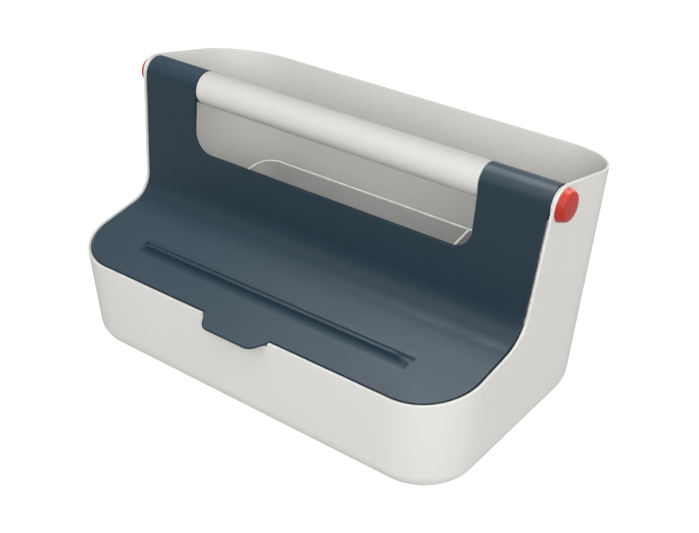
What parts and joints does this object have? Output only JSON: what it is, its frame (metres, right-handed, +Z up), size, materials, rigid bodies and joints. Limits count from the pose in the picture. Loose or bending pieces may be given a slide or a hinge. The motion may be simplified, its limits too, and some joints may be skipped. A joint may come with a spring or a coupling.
{
  "type": "storage caddy with tray and lid",
  "caption": "Carry caddy with a round grip, a hinged L-shaped lid with a device ridge and pull tab, and a loose organiser tray with a slot-in divider inside a drafted tub.",
  "frame": {"origin": "centre of the bounding box at the table", "axes": "+X along the grip to the viewer's right, +Y from the pull tab to the back wall, +Z up"},
  "size_m": [0.3776, 0.2264, 0.1969],
  "materials": {
    "pale_plastic": "fine matte",
    "slate_plastic": "fine matte, soft sheen",
    "grip_plastic": "fine matte",
    "tray_plastic": "fine matte",
    "red_plastic": "satin",
    "bush_plastic": "satin",
    "rod_steel": "drawn"
  },
  "bodies": {
    "bin": {"bin_shell": "pale_plastic", "grip_tube": "grip_plastic", "axle_rod": "rod_steel", "grip_plug_right": "grip_plastic", "grip_plug_left": "grip_plastic", "pivot_cap_right": "red_plastic", "pivot_cap_left": "red_plastic"},
    "lid": {"lid_panel": "slate_plastic", "hinge_bush_right_inner": "bush_plastic", "hinge_bush_right_outer": "bush_plastic", "hinge_bush_left_inner": "bush_plastic", "hinge_bush_left_outer": "bush_plastic"},
    "tray": {"organiser_tray": "tray_plastic"},
    "divider": {"tray_divider": "tray_plastic"}
  },
  "joints": [
    {"name": "lid_hinge", "type": "hinge", "parent": "bin", "child": "lid", "pos_m": [0, 0.01319, 0.183], "axis": [-1, 0, 0], "range_deg": [0, 150]},
    {"name": "tray_lift", "type": "slide", "parent": "bin", "child": "tray", "axis": [0, 0, 1], "range_m": [0, 0.014]},
    {"name": "divider_lift", "type": "slide", "parent": "tray", "child": "divider", "axis": [0, 0, 1], "range_m": [0, 0.01]}
  ]
}
